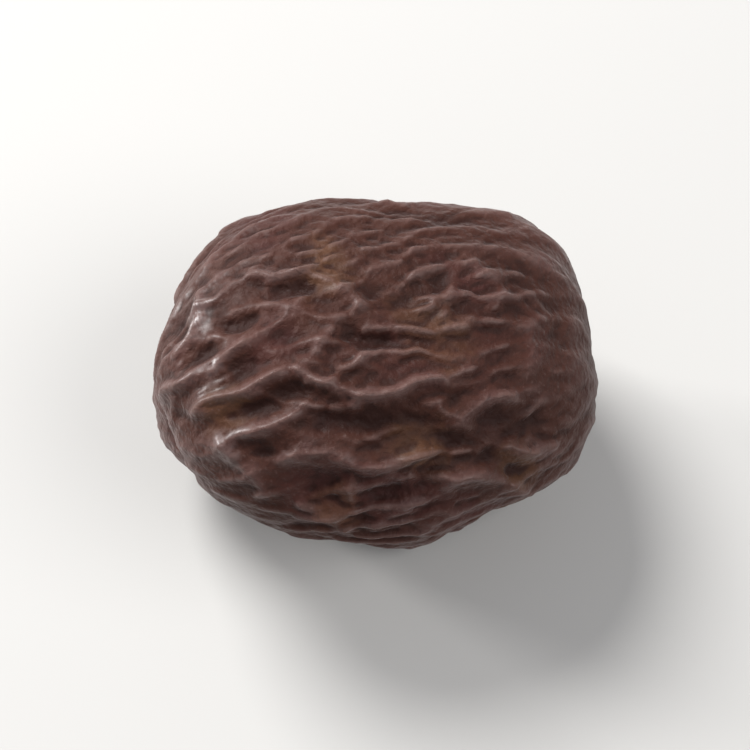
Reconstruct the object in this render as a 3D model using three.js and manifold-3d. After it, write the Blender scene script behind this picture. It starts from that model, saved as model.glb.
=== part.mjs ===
// A dried jujube in millimetres, +Z up: one whole fruit lying on its side on a small flat spot.
// Its length runs along X, with the hollow of the stem towards -X and the tip towards +X.

import * as THREE from 'three';
import { mergeVertices } from 'three/addons/utils/BufferGeometryUtils.js';
import Module from 'manifold-3d';

// Size of the body before its wrinkles
const LENGTH = 20.6;
const WIDTH = 15.8;
const THICKNESS = 14.8;
const SHOULDER_POWER = 2.6; // 2 gives round ends, more gives squarer shoulders
const GIRTH_POWER = 2.1; // the same for the section across
const TIP_TAPER = 0.03; // share of the radius that the tip loses and the stem end gains

// How it lies
const STEM_LIFT = THREE.MathUtils.degToRad(8);
const FLAT_DEPTH = 0.6; // taken off below for the spot that it rests on

// Fineness of the skin: squares from end to end and across each of its four sides
const SQUARES_ALONG = 28;
const SQUARES_ACROSS = 32;

// Shoulders (raised) and flats (sunk) that drying left on the body
const SWELLINGS = [
  { toward: [-0.71, -0.65, -0.28], height: -3.0, spread: 0.25 },
  { toward: [0.45, -0.85, -0.26], height: -1.0, spread: 0.15 },
  { toward: [-0.42, 0.87, 0.27], height: 1.4, spread: 0.225 },
  { toward: [0.77, 0.48, 0.41], height: 0.9, spread: 0.175 },
  { toward: [-0.87, 0.47, 0.18], height: -0.7, spread: 0.15 },
  { toward: [0.08, -0.92, -0.39], height: 0.4, spread: 0.125 },
  { toward: [-0.84, 0.55, 0.02], height: -1.0, spread: 0.06 },
  { toward: [-0.85, -0.37, -0.38], height: -1.6, spread: 0.06 },
  { toward: [-0.26, -0.86, -0.45], height: -1.1, spread: 0.05 },
  { toward: [0.52, -0.82, -0.23], height: -1.5, spread: 0.06 },
  { toward: [0.8, 0.44, 0.4], height: 0.5, spread: 0.03 },
  { toward: [0.01, 0.91, 0.41], height: 0.4, spread: 0.05 },
];

// The upper side's own crests and hollows are drawn on a plane that faces this way
const DRAWN_AZIMUTH = THREE.MathUtils.degToRad(-15);
const DRAWN_ELEVATION = THREE.MathUtils.degToRad(66);
const DRAWN_CENTRE = new THREE.Vector2(0.0, 1.0); // its middle, seen from the body's
const DRAWN_EDGE = [0.18, 0.48]; // facing over which the drawing fades in
const DRAWN_HEIGHT = 0.72; // share of the lines' heights that the skin takes
const LINE_RISE = 0.8; // length over which a line rises from its ends
const LINE_END = 0.45; // share of its height that it has at its ends
const LINE_STEPS = 8; // straight steps from one of its points to the next
const CREST_POWER = 1.5; // 2 is a round top, less is a sharper one
const HOLLOW_POWER = 2;

// Height, half width, then points to the right of and above the middle of the drawing
const CRESTS = [
  line(0.50, 0.45, [-8.7, -0.6], [-7.4, 0.1], [-6.4, 0.4], [-5.6, 1.2], [-4.6, 1.7]),
  line(0.55, 0.45, [-7.2, -1.1], [-6.2, -0.7], [-5.2, -0.4], [-3.9, 0.1], [-3.1, 0.6]),
  line(0.35, 0.45, [-3.1, 0.6], [-2.2, 1.1], [-1.6, 1.8], [-1.2, 2.6]),
  line(0.55, 0.50, [-3.1, 0.6], [-1.4, -0.1], [0.1, -0.5], [1.6, -0.2], [3.1, 0.2], [4.7, 0.6]),
  line(0.30, 0.40, [-1.1, 1.1], [0.5, 0.9]),
  line(0.45, 0.45, [-5.1, 4.6], [-3.9, 4.4], [-2.4, 4.5], [-1.2, 4.0], [0.0, 3.2]),
  line(0.50, 0.45, [-7.0, 3.7], [-6.9, 2.8], [-7.6, 1.6], [-8.2, 0.8]),
  line(0.40, 0.40, [-4.9, -2.2], [-3.9, -1.7], [-2.5, -1.2]),
  line(0.40, 0.50, [-6.1, -2.2], [-5.2, -3.2], [-4.4, -4.1], [-3.9, -4.7]),
  line(0.50, 0.50, [-3.2, -2.9], [-1.4, -2.9], [-0.2, -3.4], [1.0, -3.4], [1.9, -3.2], [2.8, -2.7]),
  line(0.35, 0.45, [-0.5, -3.5], [-0.7, -4.3], [-0.4, -5.2]),
  line(0.45, 0.50, [-3.0, -4.9], [-1.7, -5.5], [-0.4, -6.2]),
  line(0.45, 0.45, [0.1, -6.0], [1.1, -5.5], [2.0, -5.1]),
  line(0.55, 0.50, [3.0, -4.4], [4.1, -3.9], [5.1, -4.0], [6.3, -4.5], [7.5, -5.0]),
  line(0.35, 0.45, [2.0, -6.3], [3.1, -5.8], [4.1, -5.3]),
  line(0.35, 0.60, [-4.4, -6.2], [-2.4, -6.8], [-0.9, -7.3], [0.8, -7.7]),
  line(0.30, 0.50, [3.9, 4.4], [3.2, 2.8], [4.5, 2.1]),
  line(0.35, 0.60, [4.3, 5.1], [5.6, 4.1], [5.2, 2.7]),
  line(0.45, 0.50, [2.6, -0.8], [3.7, -1.4], [5.2, -0.7], [6.3, -0.8]),
  line(0.40, 0.50, [5.9, -2.7], [7.3, -2.9], [8.3, -2.6]),
  line(0.25, 0.60, [6.8, 2.5], [6.9, 1.2], [6.7, 0.0]),
  line(0.25, 0.60, [-6.9, 5.0], [-6.2, 4.4], [-5.2, 4.1]),
  line(0.22, 0.80, [-5.0, 6.6], [-2.6, 7.1], [0.2, 6.9]),
  line(0.20, 0.70, [-1.8, 5.7], [0.6, 5.2], [2.3, 5.5]),
  line(0.20, 0.80, [1.4, 6.4], [3.2, 6.7], [5.4, 6.3]),
];
const HOLLOWS = [
  line(0.45, 0.50, [-5.4, -1.2], [-3.9, -0.8], [-2.4, -0.3]),
  line(0.45, 0.80, [-2.1, -1.4], [-0.4, -1.8], [1.3, -1.8], [2.9, -2.1], [4.1, -2.6]),
  line(0.40, 0.60, [4.3, -1.7], [5.6, -1.7], [7.9, -1.9]),
  line(0.60, 0.55, [-1.1, 2.0], [-0.3, 1.9], [1.3, 1.8]),
  line(0.30, 0.45, [-0.2, 3.7], [1.3, 3.4], [2.2, 3.7]),
  line(0.40, 0.45, [-4.2, 3.8], [-3.2, 4.0], [-1.9, 3.6]),
  line(0.50, 0.45, [-6.4, 2.6], [-5.4, 2.5], [-4.5, 3.1]),
  line(0.45, 0.45, [-7.4, 1.1], [-6.2, 1.4]),
  line(0.45, 0.40, [-5.7, 0.3], [-4.2, 0.8]),
  line(0.50, 0.50, [-7.7, 2.8], [-8.2, 1.6]),
  line(0.30, 0.55, [-4.1, 2.2], [-2.8, 1.6]),
  line(0.40, 0.55, [-4.3, -2.7], [-4.3, -3.2]),
  line(0.40, 0.65, [-2.6, -4.1], [-1.8, -4.3], [-1.0, -4.2]),
  line(0.45, 0.55, [0.0, -4.9], [0.7, -4.7], [1.5, -4.3]),
  line(0.35, 0.45, [2.2, -4.1], [2.8, -3.8]),
  line(0.35, 0.50, [4.9, -3.2], [6.5, -3.7]),
  line(0.30, 0.45, [3.3, 4.8], [3.2, 3.8]),
  line(0.35, 0.60, [6.3, 4.9], [7.1, 5.1]),
  line(0.30, 0.60, [7.9, 4.0], [8.4, 2.8], [8.3, 1.2]),
  line(0.30, 0.50, [-7.7, -1.1], [-7.6, -1.8]),
];

// Wrinkles and broad folds elsewhere run along the fruit, in patches of waves laid on by a seeded rule
const PATCH_JITTER = 0.15; // how far the patches stray from an even spread
const PATCH_PITCH = [0.85, 1.15]; // range of their frequencies, as shares of the stated wave's
const PATCH_REACH = 2.2; // how far a patch is followed, in its lengths
const WRINKLES = patches({ count: 420, wave: 2.2, wander: 0.3, along: 3.4, across: 2.0, seed: 37 });
const WRINKLE_HEIGHT = 0.42;
const WRINKLE_POWER = 1.5; // above 1 the crests are narrower than the hollows
const WRINKLE_LEVEL = 0.4; // how far up a crest the skin is neither raised nor sunk
const WRINKLE_AGREEMENT = [0.1, 0.9]; // where the patches' waves disagree the skin is smooth
const FOLDS = patches({ count: 120, wave: 5.0, wander: 0.6, along: 5.0, across: 3.6, seed: 11 });
const FOLD_HEIGHT = 0.4;
const FOLD_AGREEMENT = [0.1, 1.2];
const FOLD_LEVEL = 0.5;

// What is left of both under the drawing, at the two ends, round the flat spot and in three calm bands:
// above and to the right on the drawing, and round the edge of the side that it faces
const UNDER_DRAWING = 0.15;
const AT_ENDS = { share: 0.5, facing: [0.75, 0.98] };
const AT_FLAT = { share: 0.2, facing: [0.8, 0.95] };
const CALM = { share: 0.5, above: [4.0, 6.5], right: [5.5, 8.0], facing: [-0.3, 0.1], edge: 0.3 };

// The stem's funnel with the pit and scar in it, and the dimple and point of the tip
const FUNNEL = { radius: 2.0, depth: 1.3 };
const PIT = { edge: 1.25, floor: 0.7, depth: 0.7 };
const SCAR = { edge: 0.55, top: 0.3, height: 0.45 };
const TIP_DIMPLE = { radius: 1.2, depth: 0.5 };
const TIP_POINT = { radius: 0.3, height: 0.3 };

const SKIN = { color: 0x523a35, roughness: 0.6, metalness: 0.0 };

const LIFT_AXIS = new THREE.Vector3(0, 1, 0); // level, across the fruit
const DRAWN_FACE = new THREE.Vector3(
  Math.sin(DRAWN_AZIMUTH) * Math.cos(DRAWN_ELEVATION),
  -Math.cos(DRAWN_AZIMUTH) * Math.cos(DRAWN_ELEVATION),
  Math.sin(DRAWN_ELEVATION),
);
const DRAWN_RIGHT = new THREE.Vector3(Math.cos(DRAWN_AZIMUTH), Math.sin(DRAWN_AZIMUTH), 0);
const DRAWN_UP = new THREE.Vector3().crossVectors(DRAWN_FACE, DRAWN_RIGHT);

// A drawn line, as short straight steps along a smooth curve
function line(height, width, ...points) {
  const curve = new THREE.SplineCurve(points.map(([x, y]) => new THREE.Vector2(x, y)));
  return { height, width, steps: curve.getPoints(LINE_STEPS * (points.length - 1)) };
}

// A repeatable draw from 0 to 1
function draw(index, seed) {
  const value = Math.sin(index * 127.1 + seed * 311.7) * 43758.5453;
  return value - Math.floor(value);
}

// Goes smoothly from 0 at the first value to 1 at the second, which may be the smaller one
function ease(from, to, value) {
  const share = THREE.MathUtils.clamp((value - from) / (to - from), 0, 1);
  return share * share * (3 - 2 * share);
}

function bell(distance, radius, power = 2) {
  return Math.exp(-((Math.abs(distance) / radius) ** power));
}

// Distance from the middle to the smooth body
function bodyRadius(direction) {
  const along = Math.abs(direction.x) / (LENGTH / 2);
  const wide = Math.abs(direction.y) / (WIDTH / 2);
  const thick = Math.abs(direction.z) / (THICKNESS / 2);
  const girth = (wide ** GIRTH_POWER + thick ** GIRTH_POWER) ** (1 / GIRTH_POWER);
  const size = (along ** SHOULDER_POWER + girth ** SHOULDER_POWER) ** (-1 / SHOULDER_POWER);
  return size * (1 - TIP_TAPER * direction.x);
}

function swelling(direction) {
  let total = 0;
  for (const { toward, height, spread } of SWELLINGS) {
    const facing = direction.dot(new THREE.Vector3(...toward).normalize());
    total += height * Math.exp(-(1 - facing) / spread);
  }
  return total;
}

// Patches spread evenly over the body, whose waves run along the fruit, each turned a little its own way
function patches({ count, wave, wander, along, across, seed }) {
  const goldenRatio = (1 + Math.sqrt(5)) / 2;
  const list = [];
  for (let i = 0; i < count; i++) {
    const x = 1 - (2 * (i + 0.5)) / count;
    const turn = (2 * Math.PI * i) / goldenRatio;
    const ring = Math.sqrt(1 - x * x);
    const normal = new THREE.Vector3(x, ring * Math.cos(turn), ring * Math.sin(turn));
    normal.x += (draw(i, seed + 1) - 0.5) * PATCH_JITTER;
    normal.y += (draw(i, seed + 2) - 0.5) * PATCH_JITTER;
    normal.z += (draw(i, seed + 3) - 0.5) * PATCH_JITTER;
    normal.normalize();
    const round = new THREE.Vector3(0, -normal.z, normal.y).normalize();
    const lengthwise = new THREE.Vector3().crossVectors(round, normal);
    const lean = (draw(i, seed + 4) * 2 - 1) * wander;
    list.push({
      centre: normal.clone().multiplyScalar(bodyRadius(normal)),
      normal,
      crossing: round.clone().multiplyScalar(Math.cos(lean)).addScaledVector(lengthwise, Math.sin(lean)),
      running: lengthwise.clone().multiplyScalar(Math.cos(lean)).addScaledVector(round, -Math.sin(lean)),
      phase: 2 * Math.PI * draw(i, seed + 5),
      frequency: ((2 * Math.PI) / wave) * THREE.MathUtils.lerp(...PATCH_PITCH, draw(i, seed + 6)),
    });
  }
  return { list, along, across, reach: PATCH_REACH * along };
}

// The patches' waves added up at a point: how far up a crest it is, and how well they agree there
function waves(point, { list, along, across, reach }) {
  const offset = new THREE.Vector3();
  let cosine = 0;
  let sine = 0;
  for (const { centre, normal, crossing, running, phase, frequency } of list) {
    offset.subVectors(point, centre);
    if (offset.length() > reach) continue;
    const aside = offset.dot(crossing);
    const weight = bell(aside, across) * bell(offset.dot(running), along) * bell(offset.dot(normal), along);
    cosine += weight * Math.cos(aside * frequency + phase);
    sine += weight * Math.sin(aside * frequency + phase);
  }
  const agreement = Math.hypot(cosine, sine);
  return { crest: (1 + cosine / Math.max(agreement, 1e-9)) / 2, agreement };
}

// Height of a drawn line at a point of its plane, less away from the line and towards its ends
function lineHeight(spot, { height, width, steps }, power) {
  let nearest = Infinity;
  let place = 0;
  let walked = 0;
  for (let i = 1; i < steps.length; i++) {
    const step = steps[i].clone().sub(steps[i - 1]);
    const offset = spot.clone().sub(steps[i - 1]);
    const share = THREE.MathUtils.clamp(offset.dot(step) / step.lengthSq(), 0, 1);
    const distance = offset.addScaledVector(step, -share).length();
    if (distance < nearest) {
      nearest = distance;
      place = walked + share * step.length();
    }
    walked += step.length();
  }
  const rise = Math.min(1, LINE_END + Math.min(place, walked - place) / LINE_RISE);
  return height * rise * bell(nearest, width, power);
}

function drawnHeight(spot) {
  const raised = CRESTS.map((crest) => lineHeight(spot, crest, CREST_POWER));
  const sunk = HOLLOWS.map((hollow) => lineHeight(spot, hollow, HOLLOW_POWER));
  return DRAWN_HEIGHT * (Math.max(...raised) - Math.max(...sunk));
}

// Height of the wrinkles and folds over the smooth body
function wrinkleHeight(point) {
  const wrinkle = waves(point, WRINKLES);
  const fold = waves(point, FOLDS);
  const fine = wrinkle.crest ** WRINKLE_POWER - WRINKLE_LEVEL;
  const broad = fold.crest - FOLD_LEVEL;
  return WRINKLE_HEIGHT * fine * ease(...WRINKLE_AGREEMENT, wrinkle.agreement)
    + FOLD_HEIGHT * broad * ease(...FOLD_AGREEMENT, fold.agreement);
}

function endHeight(direction, point) {
  const aside = Math.hypot(point.y, point.z);
  if (direction.x > 0) {
    const dimple = TIP_DIMPLE.depth * bell(aside, TIP_DIMPLE.radius);
    return TIP_POINT.height * bell(aside, TIP_POINT.radius) - dimple;
  }
  const funnel = FUNNEL.depth * bell(aside, FUNNEL.radius);
  const pit = PIT.depth * ease(PIT.edge, PIT.floor, aside);
  const scar = SCAR.height * ease(SCAR.edge, SCAR.top, aside);
  return scar - pit - funnel;
}

// How far a spot of the drawing lies in the calm bands, from 0 to 1
function calmness(spot, facing) {
  const bands = Math.max(ease(...CALM.above, spot.y), ease(...CALM.right, spot.x));
  return Math.max(bands * ease(...CALM.facing, facing), bell(facing, CALM.edge));
}

// The skin in one direction from the middle, with the fruit turned as it lies
function skinPoint(direction) {
  const smooth = direction.clone().multiplyScalar(bodyRadius(direction) + swelling(direction));
  const lying = direction.clone().applyAxisAngle(LIFT_AXIS, STEM_LIFT);
  const placed = smooth.clone().applyAxisAngle(LIFT_AXIS, STEM_LIFT);
  const spot = new THREE.Vector2(placed.dot(DRAWN_RIGHT), placed.dot(DRAWN_UP)).sub(DRAWN_CENTRE);
  const facing = lying.dot(DRAWN_FACE);
  const drawn = ease(...DRAWN_EDGE, facing);
  const left = THREE.MathUtils.lerp(1, UNDER_DRAWING, drawn)
    * THREE.MathUtils.lerp(1, AT_ENDS.share, ease(...AT_ENDS.facing, Math.abs(direction.x)))
    * THREE.MathUtils.lerp(1, AT_FLAT.share, ease(...AT_FLAT.facing, -lying.z))
    * THREE.MathUtils.lerp(1, CALM.share, calmness(spot, facing));
  const height = wrinkleHeight(smooth) * left + drawnHeight(spot) * drawn + endHeight(direction, smooth);
  return placed.addScaledVector(lying, height);
}

function onlyPositions(geometry) {
  geometry.deleteAttribute('normal');
  geometry.deleteAttribute('uv');
  return mergeVertices(geometry);
}

// A box of squares, whose corners are spread evenly over all directions and moved out to the skin
function skinGeometry() {
  const box = new THREE.BoxGeometry(2, 2, 2, SQUARES_ALONG, SQUARES_ACROSS, SQUARES_ACROSS);
  const geometry = onlyPositions(box);
  const position = geometry.attributes.position;
  const directions = [];
  const points = [];
  for (let i = 0; i < position.count; i++) {
    const corner = [position.getX(i), position.getY(i), position.getZ(i)];
    const [x, y, z] = corner.map((value) => Math.tan((value * Math.PI) / 4));
    directions.push(new THREE.Vector3(x, y, z).normalize());
    points.push(skinPoint(directions[i]));
    position.setXYZ(i, ...points[i]);
  }
  foldSquares(geometry.index.array, directions, points);
  return geometry;
}

// Each square becomes two triangles that meet along the diagonal that lies closer to the skin
function foldSquares(index, directions, points) {
  for (let i = 0; i < index.length; i += 6) {
    const [a, b, d, , c] = index.subarray(i, i + 6);
    const centre = new THREE.Vector3();
    for (const corner of [a, b, c, d]) centre.add(directions[corner]);
    const skin = skinPoint(centre.normalize());
    const gapBD = points[b].clone().lerp(points[d], 0.5).distanceTo(skin);
    const gapAC = points[a].clone().lerp(points[c], 0.5).distanceTo(skin);
    if (gapAC < gapBD) index.set([a, b, c, a, c, d], i);
  }
}

const wasm = await Module();
wasm.setup();

function toSolid(geometry) {
  const vertProperties = new Float32Array(geometry.attributes.position.array);
  const triVerts = new Uint32Array(geometry.index.array);
  return new wasm.Manifold(new wasm.Mesh({ numProp: 3, vertProperties, triVerts }));
}

function toGeometry(solid) {
  const { vertProperties, triVerts } = solid.getMesh();
  const geometry = new THREE.BufferGeometry();
  geometry.setAttribute('position', new THREE.BufferAttribute(vertProperties, 3));
  geometry.setIndex(new THREE.BufferAttribute(triVerts, 1));
  geometry.computeVertexNormals();
  return geometry;
}

// The fruit, cut flat below and set with the middle of its box over the origin
function makeFruit() {
  const skin = skinGeometry();
  skin.computeBoundingBox();
  const floor = skin.boundingBox.min.z + FLAT_DEPTH;
  const below = onlyPositions(new THREE.BoxGeometry(2 * LENGTH, 2 * LENGTH, LENGTH));
  below.translate(0, 0, floor - LENGTH / 2);
  const geometry = toGeometry(toSolid(skin).subtract(toSolid(below)));
  geometry.computeBoundingBox();
  const middle = geometry.boundingBox.getCenter(new THREE.Vector3());
  const fruit = new THREE.Mesh(geometry, new THREE.MeshStandardMaterial(SKIN));
  fruit.name = 'fruit';
  fruit.position.set(-middle.x, -middle.y, -floor);
  return fruit;
}

const jujube = new THREE.Group();
jujube.add(makeFruit());

export default jujube;
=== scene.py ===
"""A dried jujube: its wrinkled skin in full detail, on a plain stage.

The fruit stands for the part's one solid. It follows the same rule, with finer wrinkles on top.
"""

import math

import bpy
import numpy as np
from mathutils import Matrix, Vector


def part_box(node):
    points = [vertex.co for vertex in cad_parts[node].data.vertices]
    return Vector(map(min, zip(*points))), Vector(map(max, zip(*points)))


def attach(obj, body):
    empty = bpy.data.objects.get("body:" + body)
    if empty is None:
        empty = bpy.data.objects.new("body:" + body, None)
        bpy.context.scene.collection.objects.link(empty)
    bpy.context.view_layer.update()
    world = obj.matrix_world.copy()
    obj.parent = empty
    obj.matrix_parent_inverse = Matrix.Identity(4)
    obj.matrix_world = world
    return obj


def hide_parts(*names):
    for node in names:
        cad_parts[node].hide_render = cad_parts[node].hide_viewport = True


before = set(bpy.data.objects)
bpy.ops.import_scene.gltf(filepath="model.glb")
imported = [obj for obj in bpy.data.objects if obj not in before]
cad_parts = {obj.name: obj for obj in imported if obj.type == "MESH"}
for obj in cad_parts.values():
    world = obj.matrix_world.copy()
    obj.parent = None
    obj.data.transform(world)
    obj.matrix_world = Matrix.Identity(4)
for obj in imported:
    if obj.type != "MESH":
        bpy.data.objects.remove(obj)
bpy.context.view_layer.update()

bl_info = {
    "name": "Dried jujube",
    "version": (1, 0, 0),
    "blender": (4, 5, 0),
    "location": "3D View > Sidebar > Jujube",
    "description": "Adds a dried jujube and a plain stage to see it on",
    "category": "Add Mesh",
}

MM = 0.001  # the shape is worked out in millimetres and built in metres

# Fineness of the skin: squares from end to end and across each of its four sides
SQUARES_ALONG = 126
SQUARES_ACROSS = 129

# Form of the smooth body
SHOULDER_POWER = 2.6  # 2 gives round ends, more gives squarer shoulders
GIRTH_POWER = 2.1  # the same for the section across
TIP_TAPER = 0.03  # share of the radius that the tip loses and the stem end gains

# Shoulders (raised) and flats (sunk) that drying left: direction, height, spread
SWELLINGS = (
    ((-0.71, -0.65, -0.28), -3.0, 0.25),
    ((0.45, -0.85, -0.26), -1.0, 0.15),
    ((-0.42, 0.87, 0.27), 1.4, 0.225),
    ((0.77, 0.48, 0.41), 0.9, 0.175),
    ((-0.87, 0.47, 0.18), -0.7, 0.15),
    ((0.08, -0.92, -0.39), 0.4, 0.125),
    ((-0.84, 0.55, 0.02), -1.0, 0.06),
    ((-0.85, -0.37, -0.38), -1.6, 0.06),
    ((-0.26, -0.86, -0.45), -1.1, 0.05),
    ((0.52, -0.82, -0.23), -1.5, 0.06),
    ((0.8, 0.44, 0.4), 0.5, 0.03),
    ((0.01, 0.91, 0.41), 0.4, 0.05),
)

# The upper side's own crests and hollows are drawn on a plane that faces this way
DRAWN_AZIMUTH = math.radians(-15)
DRAWN_ELEVATION = math.radians(66)
DRAWN_CENTRE = (0.0, 1.0)  # its middle, seen from the body's
DRAWN_EDGE = (0.18, 0.48)  # facing over which the drawing fades in
DRAWN_HEIGHT = 0.72  # share of the lines' heights that the skin takes
LINE_RISE = 0.8  # length over which a line rises from its ends
LINE_END = 0.45  # share of its height that it has at its ends
LINE_STEPS = 8  # straight steps from one of its points to the next
LINE_REACH = 3  # how far from a line its height is worked out, in its half widths
CREST_POWER = 1.4  # 2 is a round top, less is a sharper one
CREST_SLIMMING = 0.8  # share of its half width that a crest is given
HOLLOW_POWER = 2
SHAKE_WAVE = 2.2  # length of the lines' wavering
SHAKE_SEEDS = (201, 211)

# Height, half width, then points to the right of and above the middle of the drawing
CRESTS = (
    (0.50, 0.45, ((-8.7, -0.6), (-7.4, 0.1), (-6.4, 0.4), (-5.6, 1.2), (-4.6, 1.7))),
    (0.55, 0.45, ((-7.2, -1.1), (-6.2, -0.7), (-5.2, -0.4), (-3.9, 0.1), (-3.1, 0.6))),
    (0.35, 0.45, ((-3.1, 0.6), (-2.2, 1.1), (-1.6, 1.8), (-1.2, 2.6))),
    (0.55, 0.50, ((-3.1, 0.6), (-1.4, -0.1), (0.1, -0.5), (1.6, -0.2), (3.1, 0.2), (4.7, 0.6))),
    (0.30, 0.40, ((-1.1, 1.1), (0.5, 0.9))),
    (0.45, 0.45, ((-5.1, 4.6), (-3.9, 4.4), (-2.4, 4.5), (-1.2, 4.0), (0.0, 3.2))),
    (0.50, 0.45, ((-7.0, 3.7), (-6.9, 2.8), (-7.6, 1.6), (-8.2, 0.8))),
    (0.40, 0.40, ((-4.9, -2.2), (-3.9, -1.7), (-2.5, -1.2))),
    (0.40, 0.50, ((-6.1, -2.2), (-5.2, -3.2), (-4.4, -4.1), (-3.9, -4.7))),
    (0.50, 0.50, ((-3.2, -2.9), (-1.4, -2.9), (-0.2, -3.4), (1.0, -3.4), (1.9, -3.2), (2.8, -2.7))),
    (0.35, 0.45, ((-0.5, -3.5), (-0.7, -4.3), (-0.4, -5.2))),
    (0.45, 0.50, ((-3.0, -4.9), (-1.7, -5.5), (-0.4, -6.2))),
    (0.45, 0.45, ((0.1, -6.0), (1.1, -5.5), (2.0, -5.1))),
    (0.55, 0.50, ((3.0, -4.4), (4.1, -3.9), (5.1, -4.0), (6.3, -4.5), (7.5, -5.0))),
    (0.35, 0.45, ((2.0, -6.3), (3.1, -5.8), (4.1, -5.3))),
    (0.35, 0.60, ((-4.4, -6.2), (-2.4, -6.8), (-0.9, -7.3), (0.8, -7.7))),
    (0.30, 0.50, ((3.9, 4.4), (3.2, 2.8), (4.5, 2.1))),
    (0.35, 0.60, ((4.3, 5.1), (5.6, 4.1), (5.2, 2.7))),
    (0.45, 0.50, ((2.6, -0.8), (3.7, -1.4), (5.2, -0.7), (6.3, -0.8))),
    (0.40, 0.50, ((5.9, -2.7), (7.3, -2.9), (8.3, -2.6))),
    (0.25, 0.60, ((6.8, 2.5), (6.9, 1.2), (6.7, 0.0))),
    (0.25, 0.60, ((-6.9, 5.0), (-6.2, 4.4), (-5.2, 4.1))),
    (0.22, 0.80, ((-5.0, 6.6), (-2.6, 7.1), (0.2, 6.9))),
    (0.20, 0.70, ((-1.8, 5.7), (0.6, 5.2), (2.3, 5.5))),
    (0.20, 0.80, ((1.4, 6.4), (3.2, 6.7), (5.4, 6.3))),
)
HOLLOWS = (
    (0.45, 0.50, ((-5.4, -1.2), (-3.9, -0.8), (-2.4, -0.3))),
    (0.45, 0.80, ((-2.1, -1.4), (-0.4, -1.8), (1.3, -1.8), (2.9, -2.1), (4.1, -2.6))),
    (0.40, 0.60, ((4.3, -1.7), (5.6, -1.7), (7.9, -1.9))),
    (0.60, 0.55, ((-1.1, 2.0), (-0.3, 1.9), (1.3, 1.8))),
    (0.30, 0.45, ((-0.2, 3.7), (1.3, 3.4), (2.2, 3.7))),
    (0.40, 0.45, ((-4.2, 3.8), (-3.2, 4.0), (-1.9, 3.6))),
    (0.50, 0.45, ((-6.4, 2.6), (-5.4, 2.5), (-4.5, 3.1))),
    (0.45, 0.45, ((-7.4, 1.1), (-6.2, 1.4))),
    (0.45, 0.40, ((-5.7, 0.3), (-4.2, 0.8))),
    (0.50, 0.50, ((-7.7, 2.8), (-8.2, 1.6))),
    (0.30, 0.55, ((-4.1, 2.2), (-2.8, 1.6))),
    (0.40, 0.55, ((-4.3, -2.7), (-4.3, -3.2))),
    (0.40, 0.65, ((-2.6, -4.1), (-1.8, -4.3), (-1.0, -4.2))),
    (0.45, 0.55, ((0.0, -4.9), (0.7, -4.7), (1.5, -4.3))),
    (0.35, 0.45, ((2.2, -4.1), (2.8, -3.8))),
    (0.35, 0.50, ((4.9, -3.2), (6.5, -3.7))),
    (0.30, 0.45, ((3.3, 4.8), (3.2, 3.8))),
    (0.35, 0.60, ((6.3, 4.9), (7.1, 5.1))),
    (0.30, 0.60, ((7.9, 4.0), (8.4, 2.8), (8.3, 1.2))),
    (0.30, 0.50, ((-7.7, -1.1), (-7.6, -1.8))),
)

# Patches of lighter brown on the drawn side: to the right of and above the middle of the drawing, and radius
RUST_SPOTS = (
    (2.8, 2.0, 1.7),
    (2.2, -2.8, 1.5),
    (-1.2, -5.1, 1.2),
    (6.5, -3.7, 1.1),
    (-1.7, 4.7, 1.3),
    (-5.8, -1.0, 1.2),
)
# Places where the skin is worn smooth and shines, given in the same way
SHINY_SPOTS = (
    (-7.2, 2.8, 1.1),
    (-6.2, 0.3, 0.8),
    (-5.6, -2.6, 0.8),
)
# Lighter brown on the other side, where a seeded ripple is high
RUST_LEVEL = (0.3, 1.5)
RUST_WAVE = 6.0
RUST_SEED = 401

# Patches of waves laid on by a seeded rule: folds and wrinkles as in the solid, then finer ones
FOLDS = {"count": 120, "wave": 5.0, "wander": 0.6, "along": 5.0, "across": 3.6, "seed": 11}
WRINKLES = {"count": 420, "wave": 2.2, "wander": 0.3, "along": 3.4, "across": 2.0, "seed": 37}
CREASES = {"count": 900, "wave": 1.2, "wander": 0.4, "along": 2.2, "across": 1.0, "seed": 53}
CRINKLES = {"count": 1700, "wave": 0.62, "wander": 0.8, "along": 1.3, "across": 0.65, "seed": 71}

PATCH_JITTER = 0.15  # how far the patches stray from an even spread
PATCH_PITCH = (0.85, 1.15)  # range of their frequencies, as shares of the stated wave's
PATCH_REACH = 2.2  # how far a patch is followed, in its lengths
RIPPLE_COUNT = 24  # plain waves that make up a ripple
RIPPLE_PITCH = (0.7, 1.3)
HASH_INDEX, HASH_SEED, HASH_SCALE = 127.1, 311.7, 43758.5453  # scatter the draws, as in the solid

# Form of each set: power (above 1 narrows the crests), level that is neither raised nor sunk, and how well
# the patches' waves must agree, because elsewhere the skin is smooth
FOLD_FORM = (1.0, 0.5, (0.1, 1.2))
WRINKLE_FORM = (1.5, 0.4, (0.1, 0.9))
CREASE_FORM = (2.5, 0.33, (0.1, 0.9))
CRINKLE_FORM = (1.0, 0.5, (0.1, 0.9))

# What is left of the folds and wrinkles under the drawing
UNDER_DRAWING = 0.15
# What is left of them and of the creases at the two ends, round the flat spot and in three calm bands, which
# lie above and to the right on the drawing and round the edge of the side that it faces
END_SHARE, END_FACING = 0.5, (0.75, 0.98)
FLAT_SHARE, FLAT_FACING = 0.2, (0.8, 0.95)
CALM_SHARE = 0.5
CALM_ABOVE = (4.0, 6.5)
CALM_RIGHT = (5.5, 8.0)
CALM_EDGE = 0.3
DRAWN_SIDE = (-0.3, 0.1)  # facing over which the drawn side begins

# The two finer sets have their full height only where a ripple is high
SMOOTHER_SHARE = 0.5
PUCKER_LEVEL = (-0.8, 0.8)
PUCKER_WAVE = 7.0
PUCKER_SEED = 301

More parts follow.
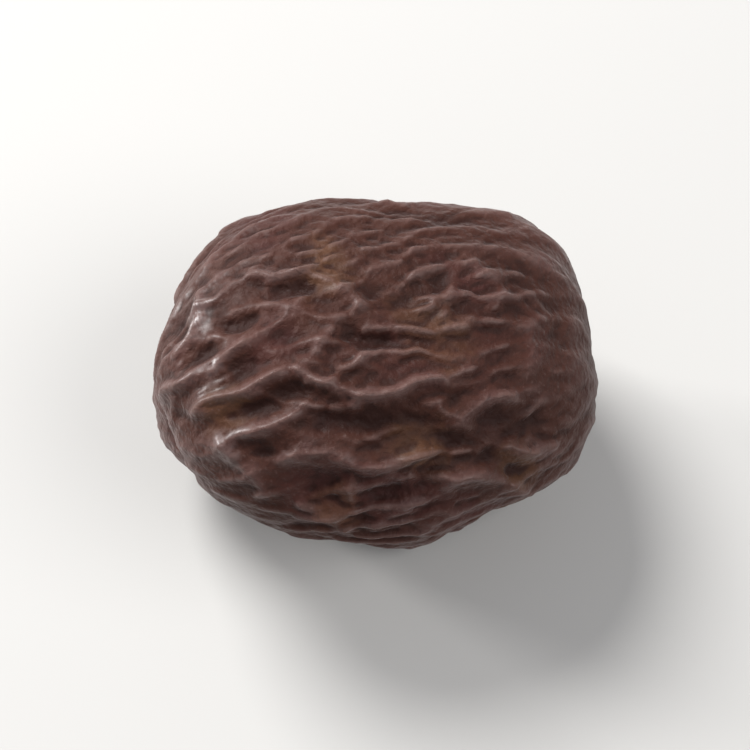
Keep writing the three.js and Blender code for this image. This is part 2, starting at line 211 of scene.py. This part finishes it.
# The stem's funnel with the pit and scar in it, and the dimple and point of the tip
FUNNEL_RADIUS, FUNNEL_DEPTH = 2.0, 1.3
PIT_EDGE, PIT_FLOOR, PIT_DEPTH = 1.25, 0.7, 0.7
SCAR_EDGE, SCAR_TOP, SCAR_HEIGHT = 0.55, 0.3, 0.45
DIMPLE_RADIUS, DIMPLE_DEPTH = 1.2, 0.5
POINT_RADIUS, POINT_HEIGHT = 0.3, 0.3

# Rounds of smoothing, from which it is told how far the skin stands out
CREST_ROUNDS = 90
CREASE_ROUNDS = 6

# Patterns of the skin: size in millimetres, detail, roughness, distortion
MOTTLE = (3.2, 4.0, 0.6, 0.6)
SPECKLE = (0.5, 3.0, 0.6, 0.0)
RUST_BREAKS = (1.6, 3.0, 0.6, 0.8)
PLUM = (6.0, 2.0, 0.5, 0.5)
DUST = (2.4, 5.0, 0.65, 0.4)
FLECKS = (0.2, 2.0, 0.6, 0.0)
PORES = (0.4, 4.0, 0.6, 0.5)
GRAIN_SIZE, GRAIN_SMOOTHNESS, GRAIN_SHARE = 0.3, 0.4, 0.5
BUMP_HEIGHT = 0.1
PATTERN_MIDDLE = 0.5  # a pattern's middle value

# Values of the patterns between which a colour or the coat comes in
MOTTLE_LEVEL = (0.58, 0.36)
SPECKLE_LEVEL = (0.3, 0.65)
RUSTY_LEVEL = (0.2, 0.9)
PLUM_LEVEL = (0.50, 0.66)
DUST_LEVEL = (0.45, 0.75)
FLECK_LEVEL = (0.58, 0.72)

# The same for how far the skin stands out, in millimetres
# Painted shade: the skin goes from the hollow colour where it is sunk to the crest colour where it stands
# out
SLOPE_RISE = (-0.22, 0.02)
CREST_RISE = (0.0, 0.22)
RUST_RISE = (-0.25, 0.0)
DUST_RISE = (-0.1, 0.15)
FLECK_RISE = (-0.15, 0.1)
# Painted highlight: thin light lines where the skin stands above its close surroundings
HIGHLIGHT_RISE = (0.015, 0.075)
# Painted shade in the narrow creases: where the skin sinks below its close surroundings it takes the hollow
# colour
CREASE_SHADE_SINK = (-0.008, -0.045)
COAT_RISE = (-0.1, 0.2)
POLISH_RISE = (0.0, 0.25)

# Share of the skin's colour that each one takes, or the weight that a pattern has
SPECKLE_SHARE = 0.2
RUST_BREAK_SHARE = 1.2
RUST_SHARE = 0.65
MOTTLE_SHARE = 0.25
PLUM_SHARE = 0.35
DUST_SHARE = 0.25
# Painted highlight along the narrow crests
HIGHLIGHT_SHARE = 0.5
FLECK_SHARE = 0.4
# Painted shade in the narrow creases
CREASE_SHADE_SHARE = 0.75
CORK_SHARE = 0.85

# Shine of the skin
ROUGHNESS, ROUGHNESS_MOTTLE, CREST_POLISH = 0.56, 0.3, 0.08
COAT, SHINY_COAT = 0.24, 1.4
SKIN_GLOSS = {
    "Specular IOR Level": 0.12,
    "Coat Roughness": 0.35,
    "Sheen Weight": 0.14,
    "Sheen Roughness": 0.4,
    "Sheen Tint": (1.0, 0.87, 0.85, 1.0),
}

# The stage, in metres: the floor, the place and width of each light, and the camera
FLOOR_REACH = 1.0
# Painted light: over these distances from the middle the floor goes lighter, making up for the lamps' light
# that falls off away from them
FLOOR_FADE = (0.1, 0.7)
FLOOR_ROUGHNESS = 0.8
LIGHTS = {
    "key": ((-0.10, 0.22, 0.29), 0.18),
    "fill": ((0.30, -0.22, 0.42), 0.4),
    "edge": ((-0.25, 0.20, 0.085), 0.06),
}
SKY_COLOUR = (0.9, 0.92, 1.0, 1.0)
SKY_STRENGTH = 0.34
AIM = Vector((0, 0, 0.0075))
LENS = 100
NEAREST_SEEN = 0.01


def size(name, description, default_mm):
    return bpy.props.FloatProperty(
        name=name, description=description, default=default_mm * MM, unit="LENGTH", precision=5
    )


def angle(name, description, degrees):
    return bpy.props.FloatProperty(
        name=name, description=description, default=math.radians(degrees), unit="ROTATION"
    )


def colour(name, description, default):
    return bpy.props.FloatVectorProperty(
        name=name, description=description, default=default, subtype="COLOR", min=0, max=1
    )


def light_power(name, description, default):
    return bpy.props.FloatProperty(name=name, description=description, default=default, unit="POWER")


class FruitShape(bpy.types.PropertyGroup):
    """Sizes of the fruit."""

    length: size("Length", "Body from the stem end to the tip, before its wrinkles", 20.6)
    width: size("Width", "Body from side to side", 15.8)
    thickness: size("Thickness", "Body from below to above", 14.8)
    stem_lift: angle("Stem lift", "How far the stem end is tipped up as the fruit lies", 8)
    folds: size("Folds", "Height of the broad folds", 0.4)
    wrinkles: size("Wrinkles", "Height of the wrinkles that run along the fruit", 0.42)
    creases: size("Creases", "Height of the small wrinkles between them", 0.26)
    crinkles: size("Crinkles", "Height of the finest wrinkles", 0.07)
    shake: size("Shake", "How far the drawn crests waver from their lines", 0.1)


class SkinColours(bpy.types.PropertyGroup):
    """Colours of the skin."""

    # Hollow, slope and crest follow how far the skin stands out, as painted shade that darkens the hollows
    # against lighter crests. The hollow colour also gives the random dark blotches.
    hollow: colour("Hollow shade and blotch", "Skin deep between the wrinkles", (0.024, 0.0080, 0.0055))
    slope: colour("Slope", "Skin on the sides of the wrinkles", (0.050, 0.017, 0.011))
    crest: colour("Crest", "Skin on top of the wrinkles", (0.080, 0.035, 0.028))
    rust: colour("Rust", "Patches that dried to a lighter brown", (0.100, 0.045, 0.021))
    bloom: colour("Bloom", "Dusty film on the open skin", (0.115, 0.073, 0.070))
    plum: colour("Plum", "Patches that stayed redder and darker", (0.058, 0.016, 0.015))
    # Painted highlight along the narrow crests; the same colour gives the light flecks
    worn: colour("Highlight and fleck", "Thin lines along the crests", (0.125, 0.073, 0.063))
    cork: colour("Cork", "Scar where the stalk came away", (0.150, 0.092, 0.055))


class StageSettings(bpy.types.PropertyGroup):
    """Floor, light and camera."""

    floor: colour("Floor", "Plain pale floor", (0.51, 0.50, 0.48))
    # Painted light: the floor's colour away from the lights, lighter to make up for their falloff
    far_floor: colour("Far floor", "Floor away from the lights", (0.90, 0.90, 0.90))
    key: light_power("Key light", "Soft light from behind on the left", 1.85)
    fill: light_power("Fill light", "Soft light from the front on the right", 1.6)
    edge: light_power("Edge light", "Low light from behind on the left", 0.8)
    azimuth: angle("Azimuth", "Direction that the camera sees the fruit from", -15)
    elevation: angle("Elevation", "How far the camera looks down", 66)
    distance: size("Distance", "From the camera to the middle of the fruit", 93)


def between(start, stop, share):
    """Goes evenly from the start, at a share of 0, to the stop, at 1."""
    return start + (stop - start) * share


def ease(start, stop, value):
    """Goes smoothly from 0 at the start to 1 at the stop, which may be the smaller one."""
    share = np.clip((value - start) / (stop - start), 0, 1)
    return share * share * (3 - 2 * share)


def bell(distance, radius, power=2):
    """1 at no distance, and less away from there."""
    return np.exp(-((np.abs(distance) / radius) ** power))


def toward_viewer(azimuth, elevation):
    """The direction from the fruit to where it is seen from."""
    level = math.cos(elevation)
    return np.array([math.sin(azimuth) * level, -math.cos(azimuth) * level, math.sin(elevation)])


def draw(index, seed):
    """A repeatable draw from 0 to 1."""
    value = np.sin(index * HASH_INDEX + seed * HASH_SEED) * HASH_SCALE
    return value - np.floor(value)


def unit(vectors):
    return vectors / np.linalg.norm(vectors, axis=-1, keepdims=True)


def ball_of_squares():
    """Directions spread evenly over a ball, as corners of squares, and the squares."""
    counts = np.array([SQUARES_ALONG, SQUARES_ACROSS, SQUARES_ACROSS])
    corners, squares, made = [], [], 0
    for axis in range(3):
        u, v = (axis + 1) % 3, (axis + 2) % 3
        grid_u, grid_v = np.meshgrid(range(counts[u] + 1), range(counts[v] + 1), indexing="ij")
        number = np.arange(grid_u.size).reshape(grid_u.shape)
        ring = [number[:-1, :-1], number[1:, :-1], number[1:, 1:], number[:-1, 1:]]
        for side in (0, counts[axis]):
            place = np.zeros((grid_u.size, 3), int)
            place[:, axis] = side
            place[:, u] = grid_u.ravel()
            place[:, v] = grid_v.ravel()
            square = np.stack(ring, -1).reshape(-1, 4) + made
            squares.append(square if side else square[:, ::-1])
            corners.append(place)
            made += len(place)
    corners, merged = np.unique(np.concatenate(corners), axis=0, return_inverse=True)
    box = np.tan((2 * corners / counts - 1) * np.pi / 4)
    return unit(box), merged.ravel()[np.concatenate(squares)]


class Body:
    """The smooth body that the wrinkles stand on."""

    def __init__(self, shape):
        self.half = np.array([shape.length, shape.width, shape.thickness]) / MM / 2

    def radius(self, directions):
        along, wide, thick = (np.abs(directions) / self.half).T
        girth = (wide**GIRTH_POWER + thick**GIRTH_POWER) ** (1 / GIRTH_POWER)
        reach = (along**SHOULDER_POWER + girth**SHOULDER_POWER) ** (-1 / SHOULDER_POWER)
        return reach * (1 - TIP_TAPER * directions[:, 0])

    def points(self, directions):
        radius = self.radius(directions)
        for toward, height, spread in SWELLINGS:
            facing = directions @ unit(np.array(toward))
            radius = radius + height * np.exp(-(1 - facing) / spread)
        return directions * radius[:, None]


def waves(body, points, count, wave, wander, along, across, seed):
    """Waves that run along the fruit: how far up a crest each point is, and how well its patches agree."""
    index = np.arange(count)
    x = 1 - 2 * (index + 0.5) / count
    turn = 2 * np.pi * index / ((1 + math.sqrt(5)) / 2)
    normal = np.stack([x, np.sqrt(1 - x * x) * np.cos(turn), np.sqrt(1 - x * x) * np.sin(turn)], 1)
    normal = unit(normal + PATCH_JITTER * np.stack([draw(index, seed + k) - 0.5 for k in (1, 2, 3)], 1))
    around = unit(np.stack([np.zeros(count), -normal[:, 2], normal[:, 1]], 1))
    lengthwise = np.cross(around, normal)
    lean = ((draw(index, seed + 4) * 2 - 1) * wander)[:, None]
    crossing = around * np.cos(lean) + lengthwise * np.sin(lean)
    running = lengthwise * np.cos(lean) - around * np.sin(lean)
    centre = normal * body.radius(normal)[:, None]
    phase = 2 * np.pi * draw(index, seed + 5)
    frequency = 2 * np.pi / wave * between(*PATCH_PITCH, draw(index, seed + 6))
    total = np.zeros(len(points), complex)
    reach = PATCH_REACH * along
    order = np.argsort(points[:, 0])
    stations = points[order, 0]
    for i in range(count):
        first, last = np.searchsorted(stations, centre[i, 0] + np.array([-reach, reach]))
        near = order[first:last]
        offset = points[near] - centre[i]
        inside = (offset * offset).sum(1) < reach**2
        near, offset = near[inside], offset[inside]
        aside = offset @ crossing[i]
        weight = bell(aside, across) * bell(offset @ running[i], along) * bell(offset @ normal[i], along)
        total[near] += weight * np.exp(1j * (aside * frequency[i] + phase[i]))
    agreement = np.abs(total)
    return (1 + total.real / np.maximum(agreement, 1e-9)) / 2, agreement


def wave_height(body, points, patches, power, level, agreeing):
    """Height of a set of waves, as a share of its full height."""
    crest, agreement = waves(body, points, **patches)
    return (crest**power - level) * ease(*agreeing, agreement)


def ripple(points, wave, seed):
    """A smooth wavering value, mostly between -2 and 2."""
    index = np.arange(RIPPLE_COUNT)
    toward = unit(np.stack([draw(index, seed + k) - 0.5 for k in (1, 2, 3)], 1))
    frequency = 2 * np.pi / wave * between(*RIPPLE_PITCH, draw(index, seed + 4))
    phase = 2 * np.pi * draw(index, seed + 5)
    return np.sin(points @ (toward * frequency[:, None]).T + phase).sum(1) / math.sqrt(RIPPLE_COUNT / 2)


def smooth_path(points):
    """A smooth curve through points, as short straight steps."""
    p = np.pad(np.array(points, float), ((1, 1), (0, 0)), mode="edge")[:, None]
    before, start, stop, after = p[:-3], p[1:-2], p[2:-1], p[3:]
    t = (np.arange(LINE_STEPS) / LINE_STEPS)[None, :, None]
    leave, arrive = (stop - before) / 2, (after - start) / 2
    curve = (2 * start - 2 * stop + leave + arrive) * t**3
    curve = curve + (-3 * start + 3 * stop - 2 * leave - arrive) * t**2 + leave * t + start
    return np.vstack([curve.reshape(-1, 2), points[-1]])


def line_height(spots, height, width, points, power):
    """Height of a drawn line, less away from it and towards its ends."""
    path = smooth_path(points)
    total = np.zeros(len(spots))
    margin = LINE_REACH * width
    inside = (spots > path.min(0) - margin) & (spots < path.max(0) + margin)
    near = np.flatnonzero(inside.all(1))
    nearest = np.full(len(near), np.inf)
    place = np.zeros(len(near))
    walked = 0.0
    for start, step in zip(path, np.diff(path, axis=0)):
        offset = spots[near] - start
        share = np.clip(offset @ step / (step @ step), 0, 1)
        distance = np.linalg.norm(offset - share[:, None] * step, axis=1)
        closer = distance < nearest
        nearest[closer] = distance[closer]
        place[closer] = walked + share[closer] * np.linalg.norm(step)
        walked += np.linalg.norm(step)
    rise = np.minimum(1, LINE_END + np.minimum(place, walked - place) / LINE_RISE)
    total[near] = height * rise * bell(nearest, width, power)
    return total


def drawn_height(spots):
    """Height of the drawn crests and hollows."""
    slim = [(height, width * CREST_SLIMMING, points) for height, width, points in CRESTS]
    raised = np.max([line_height(spots, *line, CREST_POWER) for line in slim], axis=0)
    sunk = np.max([line_height(spots, *line, HOLLOW_POWER) for line in HOLLOWS], axis=0)
    return DRAWN_HEIGHT * (raised - sunk)


def end_height(directions, aside):
    """The stem's funnel, pit and scar at one end, the dimple and point of the tip at the other."""
    stem = SCAR_HEIGHT * ease(SCAR_EDGE, SCAR_TOP, aside) - PIT_DEPTH * ease(PIT_EDGE, PIT_FLOOR, aside)
    stem = stem - FUNNEL_DEPTH * bell(aside, FUNNEL_RADIUS)
    tip = POINT_HEIGHT * bell(aside, POINT_RADIUS) - DIMPLE_DEPTH * bell(aside, DIMPLE_RADIUS)
    return np.where(directions[:, 0] > 0, tip, stem)


def near_spots(spots, listed):
    """1 in the middle of each listed spot, and less away from it."""
    return sum(bell(np.linalg.norm(spots - (x, y), axis=1), radius) for x, y, radius in listed)


def calm_share(directions, lying, spots, facing, seen):
    """What is left of the wrinkles at the ends, round the flat spot and in the calm bands."""
    calm = np.maximum(ease(*CALM_ABOVE, spots[:, 1]), ease(*CALM_RIGHT, spots[:, 0]))
    calm = np.maximum(calm * seen, bell(facing, CALM_EDGE))
    at_ends = ease(*END_FACING, np.abs(directions[:, 0]))
    at_flat = ease(*FLAT_FACING, -lying[:, 2])
    return between(1, END_SHARE, at_ends) * between(1, FLAT_SHARE, at_flat) * between(1, CALM_SHARE, calm)


def wrinkle_height(shape, body, smooth, calmed, drawn):
    """Height of the folds and wrinkles that the seeded rule lays on, in millimetres."""
    coarse = calmed * between(1, UNDER_DRAWING, drawn)
    fine = between(SMOOTHER_SHARE, 1, ease(*PUCKER_LEVEL, ripple(smooth, PUCKER_WAVE, PUCKER_SEED)))
    height = shape.folds * wave_height(body, smooth, FOLDS, *FOLD_FORM) * coarse
    height = height + shape.wrinkles * wave_height(body, smooth, WRINKLES, *WRINKLE_FORM) * coarse
    height = height + shape.creases * wave_height(body, smooth, CREASES, *CREASE_FORM) * fine * calmed
    height = height + shape.crinkles * wave_height(body, smooth, CRINKLES, *CRINKLE_FORM) * fine
    return height / MM


def fruit_points(shape, directions):
    """The skin in each direction from the middle, as the fruit lies, and its marks."""
    body = Body(shape)
    smooth = body.points(directions)
    cos, sin = math.cos(shape.stem_lift), math.sin(shape.stem_lift)
    lift = np.array([[cos, 0, sin], [0, 1, 0], [-sin, 0, cos]])
    lying, placed = directions @ lift.T, smooth @ lift.T

    face = toward_viewer(DRAWN_AZIMUTH, DRAWN_ELEVATION)
    right = np.array([math.cos(DRAWN_AZIMUTH), math.sin(DRAWN_AZIMUTH), 0])
    spots = np.stack([placed @ right, placed @ np.cross(face, right)], 1) - DRAWN_CENTRE
    shake = np.stack([ripple(smooth, SHAKE_WAVE, seed) for seed in SHAKE_SEEDS], 1)
    spots = spots + shake * shape.shake / MM / 2
    facing = lying @ face
    drawn = ease(*DRAWN_EDGE, facing)
    seen = ease(*DRAWN_SIDE, facing)

    aside = np.linalg.norm(smooth[:, 1:], axis=1)
    calmed = calm_share(directions, lying, spots, facing, seen)
    height = wrinkle_height(shape, body, smooth, calmed, drawn)
    height = height + drawn_height(spots) * drawn + end_height(directions, aside)
    other_rust = ease(*RUST_LEVEL, ripple(smooth, RUST_WAVE, RUST_SEED))
    marks = {
        "scar": np.where(directions[:, 0] < 0, ease(PIT_EDGE, SCAR_EDGE, aside), 0),
        "rust": between(other_rust, near_spots(spots, RUST_SPOTS), seen),
        "shine": near_spots(spots, SHINY_SPOTS) * seen,
    }
    return placed + lying * height[:, None], lying, marks


def set_down(points, low, high):
    """Moves the fruit into its solid's box, and presses flat what would reach below it."""
    middle = (points.min(0) + points.max(0)) / 2
    points = points + np.array((low + high) / 2) / MM - middle
    points[:, 2] += high.z / MM - points[:, 2].max()
    points[:, 2] = np.maximum(points[:, 2], low.z / MM)
    return points


def standing_out(points, squares, outward, rounds):
    """How far each point stands above the skin round it, in millimetres."""
    count = len(points)
    one = squares.ravel()
    other = np.roll(squares, 1, axis=1).ravel()
    first, second = np.concatenate([one, other]), np.concatenate([other, one])
    neighbours = np.bincount(first, minlength=count)
    spread = points
    for _ in range(rounds):
        spread = np.stack([np.bincount(first, spread[second, k], count) for k in range(3)], 1)
        spread = spread / neighbours[:, None]
    rise = ((points - spread) * outward).sum(1)
    return rise - np.median(rise)


def store(mesh, name, values):
    """Keeps a value for each point, for the material to use."""
    attribute = mesh.attributes.new(name, "FLOAT", "POINT")
    attribute.data.foreach_set("value", np.asarray(values, np.float32))


class Wire:
    """A value in a material. Arithmetic on it adds Math nodes."""

    def __init__(self, finish, socket):
        self.finish = finish
        self.socket = socket

    def maths(self, operation, first, second):
        return self.finish.node("Math", {"operation": operation}, {0: first, 1: second})

    def __add__(self, other):
        return self.maths("ADD", self, other)

    def __sub__(self, other):
        return self.maths("SUBTRACT", self, other)

    def __rsub__(self, other):
        return self.maths("SUBTRACT", other, self)

    def __mul__(self, other):
        return self.maths("MULTIPLY", self, other)

    __radd__ = __add__
    __rmul__ = __mul__


class Finish:
    """A material and the nodes that make it."""

    def __init__(self, name):
        self.material = bpy.data.materials.new(name)
        self.material.use_nodes = True
        self.tree = self.material.node_tree
        self.shader = self.tree.nodes["Principled BSDF"]

    def feed(self, socket, value):
        if isinstance(value, Wire):
            self.tree.links.new(value.socket, socket)
        else:
            socket.default_value = value

    def node(self, kind, settings, values, output=0):
        node = self.tree.nodes.new("ShaderNode" + kind)
        for name, value in settings.items():
            setattr(node, name, value)
        for name, value in values.items():
            self.feed(node.inputs[name], value)
        return Wire(self, node.outputs[output])

    def stored(self, name):
        return self.node("Attribute", {"attribute_name": name}, {}, "Fac")

    def noise(self, place, size_mm, detail, roughness, distortion):
        values = {"Vector": place, "Scale": 1 / (size_mm * MM), "Detail": detail}
        values.update({"Roughness": roughness, "Distortion": distortion})
        return self.node("TexNoise", {}, values)

    def ease(self, start, stop, value):
        values = {"Value": value, "From Min": start, "From Max": stop}
        return self.node("MapRange", {"interpolation_type": "SMOOTHSTEP"}, values)

    def mix(self, share, first, second):
        """A colour between two, where share is 0 for the first. The node's colour sockets go by number."""
        return self.node("Mix", {"data_type": "RGBA"}, {0: share, 6: first, 7: second}, 2)

    def shade(self, **values):
        for name, value in values.items():
            self.feed(self.shader.inputs[name.replace("_", " ").title()], value)


def skin_finish(colours):
    """Dry leathery skin: painted shade makes it dark in the hollows and creases and greyer on the crests,
    with painted highlight lines along the narrow crests, rusty patches, dark blotches, light flecks and a
    dusty bloom.
    """
    finish = Finish("jujube_skin")
    tone = {name: (*getattr(colours, name), 1.0) for name in SkinColours.__annotations__}
    place = finish.node("TexCoord", {}, {}, "Object")
    crest, crease, scar = (finish.stored(name) for name in ("crest", "crease", "scar"))
    rust, shine = finish.stored("rust"), finish.stored("shine")

    mottle = finish.noise(place, *MOTTLE)
    speckle = finish.noise(place, *SPECKLE)
    high = crest + (speckle - PATTERN_MIDDLE) * SPECKLE_SHARE
    # Painted shade: darker where the skin is sunk, lighter where it stands out
    skin = finish.mix(finish.ease(*SLOPE_RISE, high), tone["hollow"], tone["slope"])
    skin = finish.mix(finish.ease(*CREST_RISE, high), skin, tone["crest"])
    rusty = rust + (finish.noise(place, *RUST_BREAKS) - PATTERN_MIDDLE) * RUST_BREAK_SHARE
    rusty = finish.ease(*RUSTY_LEVEL, rusty) * finish.ease(*RUST_RISE, crest)
    skin = finish.mix(rusty * RUST_SHARE, skin, tone["rust"])
    skin = finish.mix(finish.ease(*MOTTLE_LEVEL, mottle) * MOTTLE_SHARE, skin, tone["hollow"])
    plum = finish.ease(*PLUM_LEVEL, finish.noise(place, *PLUM))
    skin = finish.mix(plum * PLUM_SHARE, skin, tone["plum"])
    dusty = finish.ease(*DUST_LEVEL, finish.noise(place, *DUST)) * finish.ease(*DUST_RISE, crest)
    skin = finish.mix(dusty * DUST_SHARE, skin, tone["bloom"])
    # Painted highlight: thin light lines along the narrow crests
    skin = finish.mix(finish.ease(*HIGHLIGHT_RISE, crease) * HIGHLIGHT_SHARE, skin, tone["worn"])
    flecks = finish.ease(*FLECK_LEVEL, finish.noise(place, *FLECKS)) * finish.ease(*FLECK_RISE, crest)
    skin = finish.mix(flecks * FLECK_SHARE, skin, tone["worn"])
    # Painted shade: the narrow creases darken to the hollow colour
    skin = finish.mix(finish.ease(*CREASE_SHADE_SINK, crease) * CREASE_SHADE_SHARE, skin, tone["hollow"])
    skin = finish.mix(scar * CORK_SHARE, skin, tone["cork"])

    grain_values = {"Vector": place, "Scale": 1 / (GRAIN_SIZE * MM), "Smoothness": GRAIN_SMOOTHNESS}
    grain = finish.node("TexVoronoi", {"feature": "SMOOTH_F1"}, grain_values)
    relief = finish.noise(place, *PORES) + grain * GRAIN_SHARE
    coated = finish.ease(*COAT_RISE, crest) * finish.ease(*SPECKLE_LEVEL, speckle)
    polish = finish.ease(*POLISH_RISE, crest) * CREST_POLISH
    finish.shade(
        base_color=skin,
        roughness=ROUGHNESS + (mottle - PATTERN_MIDDLE) * ROUGHNESS_MOTTLE - polish,
        coat_weight=coated * (shine * SHINY_COAT + COAT),
        normal=finish.node("Bump", {}, {"Strength": 1.0, "Distance": BUMP_HEIGHT * MM, "Height": relief}),
    )
    for name, value in SKIN_GLOSS.items():
        finish.shader.inputs[name].default_value = value
    return finish.material


class JUJUBE_OT_fruit(bpy.types.Operator):
    """Add the whole fruit in its wrinkled skin."""

    bl_idname = "jujube.fruit"
    bl_label = "Fruit"

    def execute(self, context):
        directions, squares = ball_of_squares()
        points, outward, marks = fruit_points(context.scene.jujube_shape, directions)
        points = set_down(points, *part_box("fruit"))
        mesh = bpy.data.meshes.new("fruit_skin")
        mesh.from_pydata((points * MM).tolist(), [], squares.tolist())
        mesh.shade_smooth()
        marks["crest"] = standing_out(points, squares, outward, CREST_ROUNDS)
        marks["crease"] = standing_out(points, squares, outward, CREASE_ROUNDS)
        for name, values in marks.items():
            store(mesh, name, values)
        mesh.materials.append(skin_finish(context.scene.jujube_skin))
        fruit = bpy.data.objects.new("fruit_skin", mesh)
        context.scene.collection.objects.link(fruit)
        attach(fruit, "root")
        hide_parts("fruit")
        return {"FINISHED"}


def add_light(scene, name, place, width, watts):
    """Hangs up a round soft light that faces the fruit."""
    light = bpy.data.lights.new(name, "AREA")
    light.shape = "DISK"
    light.size = width
    light.energy = watts
    lamp = bpy.data.objects.new(name, light)
    lamp.location = place
    lamp.rotation_euler = (-Vector(place)).to_track_quat("-Z", "Y").to_euler()
    scene.collection.objects.link(lamp)


class JUJUBE_OT_stage(bpy.types.Operator):
    """Add the floor, the lights and the camera."""

    bl_idname = "jujube.stage"
    bl_label = "Stage"

    def execute(self, context):
        scene, settings = context.scene, context.scene.jujube_stage
        mesh = bpy.data.meshes.new("floor")
        corners = [(x * FLOOR_REACH, y * FLOOR_REACH, 0) for x, y in ((-1, -1), (1, -1), (1, 1), (-1, 1))]
        mesh.from_pydata(corners, [], [(0, 1, 2, 3)])
        paint = Finish("floor_paint")
        place = paint.node("TexCoord", {}, {}, "Object")
        # Painted light: the floor is painted lighter away from the lights, where their light falls off
        away = paint.node("VectorMath", {"operation": "LENGTH"}, {0: place}, "Value")
        tone = paint.mix(paint.ease(*FLOOR_FADE, away), (*settings.floor, 1.0), (*settings.far_floor, 1.0))
        paint.shade(base_color=tone, roughness=FLOOR_ROUGHNESS)
        mesh.materials.append(paint.material)
        floor = bpy.data.objects.new("floor", mesh)
        scene.collection.objects.link(floor)

        for name, (hung, width) in LIGHTS.items():
            add_light(scene, name, hung, width, getattr(settings, name))
        scene.world = bpy.data.worlds.new("studio")
        scene.world.use_nodes = True
        sky = scene.world.node_tree.nodes["Background"]
        sky.inputs["Color"].default_value = SKY_COLOUR
        sky.inputs["Strength"].default_value = SKY_STRENGTH

        back = Vector(toward_viewer(settings.azimuth, settings.elevation))
        lens = bpy.data.cameras.new("camera")
        lens.lens = LENS
        lens.clip_start = NEAREST_SEEN
        camera = bpy.data.objects.new("camera", lens)
        camera.location = AIM + back * settings.distance
        camera.rotation_euler = (-back).to_track_quat("-Z", "Y").to_euler()
        scene.collection.objects.link(camera)
        scene.camera = camera
        scene.view_settings.view_transform = "Standard"
        return {"FINISHED"}


class JUJUBE_PT_panel(bpy.types.Panel):
    """Lists what can be added and its settings."""

    bl_idname = "JUJUBE_PT_panel"
    bl_label = "Dried jujube"
    bl_space_type = "VIEW_3D"
    bl_region_type = "UI"
    bl_category = "Jujube"

    def draw(self, context):
        for operator, groups in PANEL_ROWS:
            self.layout.operator(operator.bl_idname)
            for name in groups:
                settings = getattr(context.scene, name)
                for setting in type(settings).__annotations__:
                    self.layout.prop(settings, setting)


PANEL_ROWS = (
    (JUJUBE_OT_fruit, ("jujube_shape", "jujube_skin")),
    (JUJUBE_OT_stage, ("jujube_stage",)),
)
SETTINGS = {"jujube_shape": FruitShape, "jujube_skin": SkinColours, "jujube_stage": StageSettings}
CLASSES = (*SETTINGS.values(), JUJUBE_OT_fruit, JUJUBE_OT_stage, JUJUBE_PT_panel)


def register():
    for cls in CLASSES:
        bpy.utils.register_class(cls)
    for name, group in SETTINGS.items():
        setattr(bpy.types.Scene, name, bpy.props.PointerProperty(type=group))


def unregister():
    for name in SETTINGS:
        delattr(bpy.types.Scene, name)
    for cls in reversed(CLASSES):
        bpy.utils.unregister_class(cls)


def main():
    register()
    bpy.ops.jujube.fruit()
    bpy.ops.jujube.stage()


if __name__ == "__main__":
    main()
